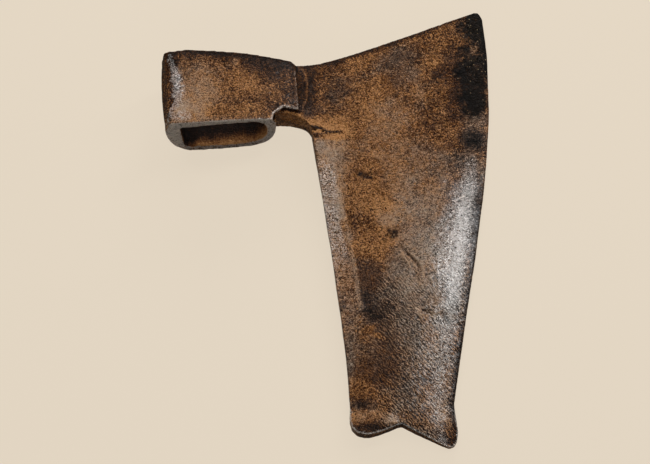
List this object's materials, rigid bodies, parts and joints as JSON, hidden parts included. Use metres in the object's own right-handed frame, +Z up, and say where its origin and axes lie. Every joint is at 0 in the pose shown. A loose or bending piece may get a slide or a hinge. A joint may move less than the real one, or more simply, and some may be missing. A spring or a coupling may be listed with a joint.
{
  "type": "axe head",
  "caption": "Forged iron bearded axe head with a lapped haft eye, a long beard with a fishtail heel and a flared blunt cutting edge, lying on its plain side.",
  "frame": {"origin": "centre of the bounding box's underside, on the surface the head lies on", "axes": "+Y along the haft's axis from the heel to the toe, +X from the poll to the cutting edge, +Z up through the blade's thickness to the lapped side"},
  "size_m": [0.2118, 0.3024, 0.0443],
  "materials": {
    "rusted_iron": "old brown rust worn to dull grey metal on the bevels and rims"
  },
  "bodies": {
    "root": {"axe_head": "rusted_iron"}
  },
  "joints": []
}
